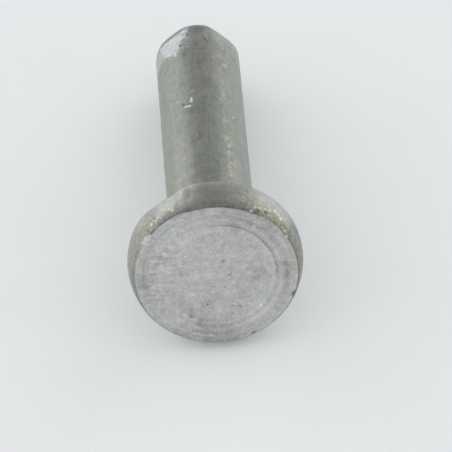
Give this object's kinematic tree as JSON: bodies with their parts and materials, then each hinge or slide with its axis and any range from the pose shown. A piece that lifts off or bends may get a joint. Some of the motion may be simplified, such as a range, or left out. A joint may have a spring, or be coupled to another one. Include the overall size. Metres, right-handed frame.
{
  "type": "flat head rivet",
  "caption": "Solid steel rivet before setting: flat-faced head with a bulged wall, plain straight shank and a rounded, cropped tail.",
  "frame": {"origin": "centre of the head's flat face, on which the rivet stands", "axes": "+Z along the shank from the head to the tail; the two cropping flats at the tail face -Y, towards -X and +X"},
  "size_m": [0.0162, 0.016, 0.0385],
  "materials": {
    "bare_steel": "bare drawn steel, satin grey with faint drawing lines, scale patches and handling nicks"
  },
  "bodies": {
    "root": {"rivet": "bare_steel"}
  },
  "joints": []
}
